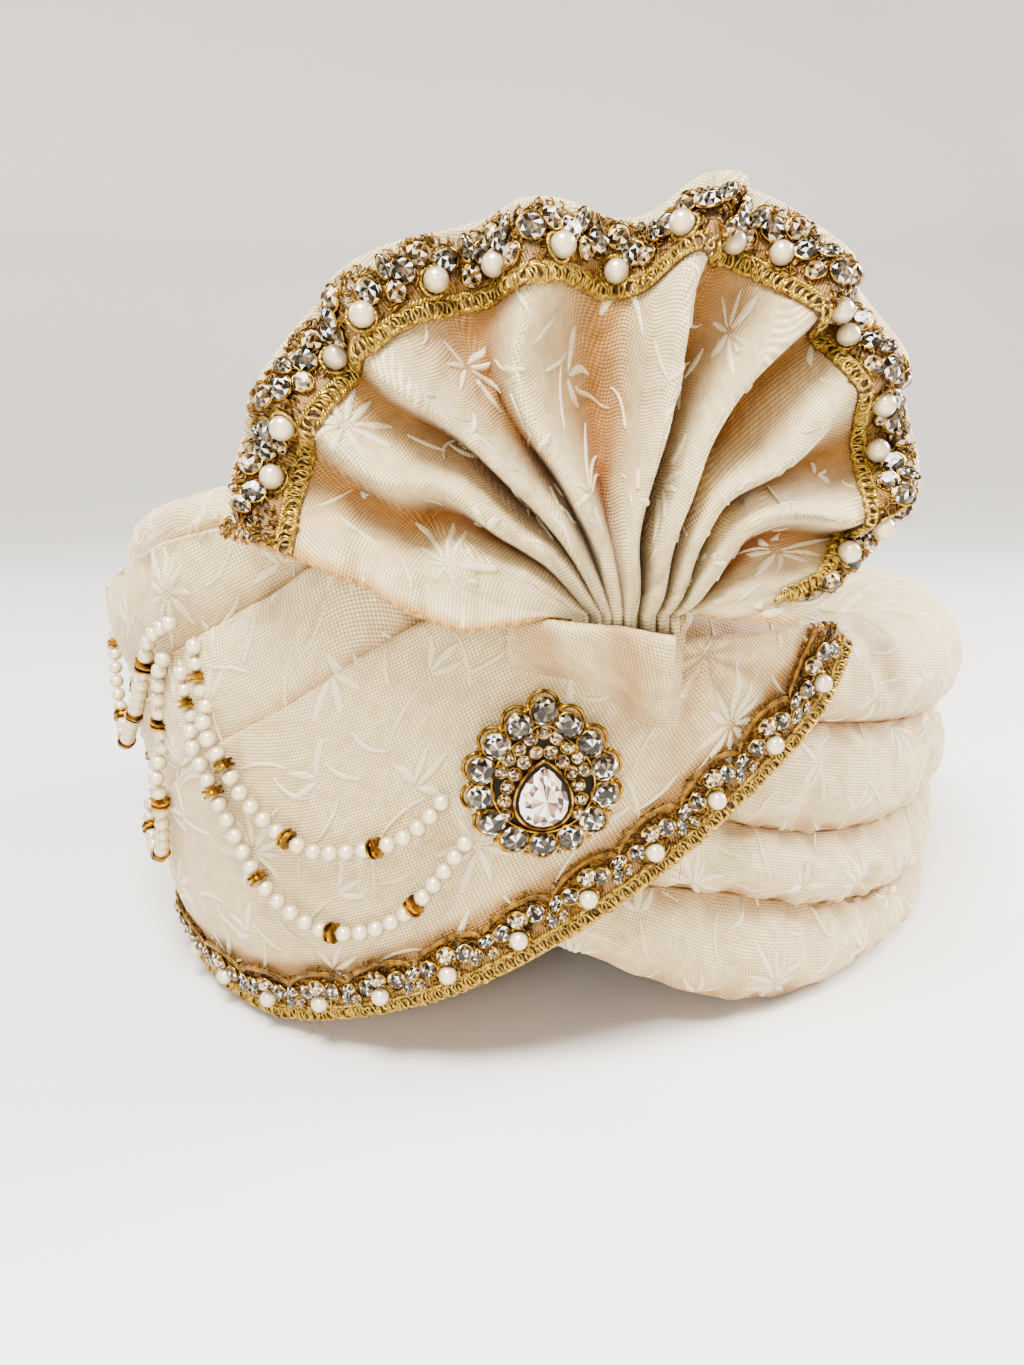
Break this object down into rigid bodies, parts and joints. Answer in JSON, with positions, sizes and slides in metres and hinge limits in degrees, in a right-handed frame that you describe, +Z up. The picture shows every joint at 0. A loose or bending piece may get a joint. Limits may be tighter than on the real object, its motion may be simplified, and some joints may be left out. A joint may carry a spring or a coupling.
{
  "type": "tied turban pagri",
  "caption": "Ready-tied wedding turban in ivory cloth with wound rolls, a lace-edged front panel, a pleated fan, a stone brooch and draped pearl strings.",
  "frame": {"origin": "centre of the head opening at the level that the turban rests on", "axes": "+Z up; -Y is the side that the fan and the brooch face; +X is at the right of someone who looks at them"},
  "size_m": [0.265, 0.2715, 0.1978],
  "materials": {
    "ivory_cloth": "plain-woven ivory cloth with a soft sheen and raised white embroidery",
    "crown_cloth": "matt ivory cloth",
    "gold_lace": "antique gold thread lace set with clear stones and pearls",
    "brooch_gold": "polished antique gold with clear cut stones",
    "pearl": "lustrous off-white imitation pearl"
  },
  "bodies": {
    "root": {"roll_1": "ivory_cloth", "roll_2": "ivory_cloth", "roll_3": "ivory_cloth", "roll_4": "ivory_cloth", "crown": "crown_cloth", "front_panel": "ivory_cloth", "panel_lace": "gold_lace", "fan": "ivory_cloth", "fan_lace": "gold_lace", "fan_tie": "ivory_cloth", "brooch": "brooch_gold", "pearl_swag_front_upper": "pearl", "pearl_swag_front_lower": "pearl", "pearl_swag_side_upper": "pearl", "pearl_swag_side_lower": "pearl"}
  },
  "joints": []
}
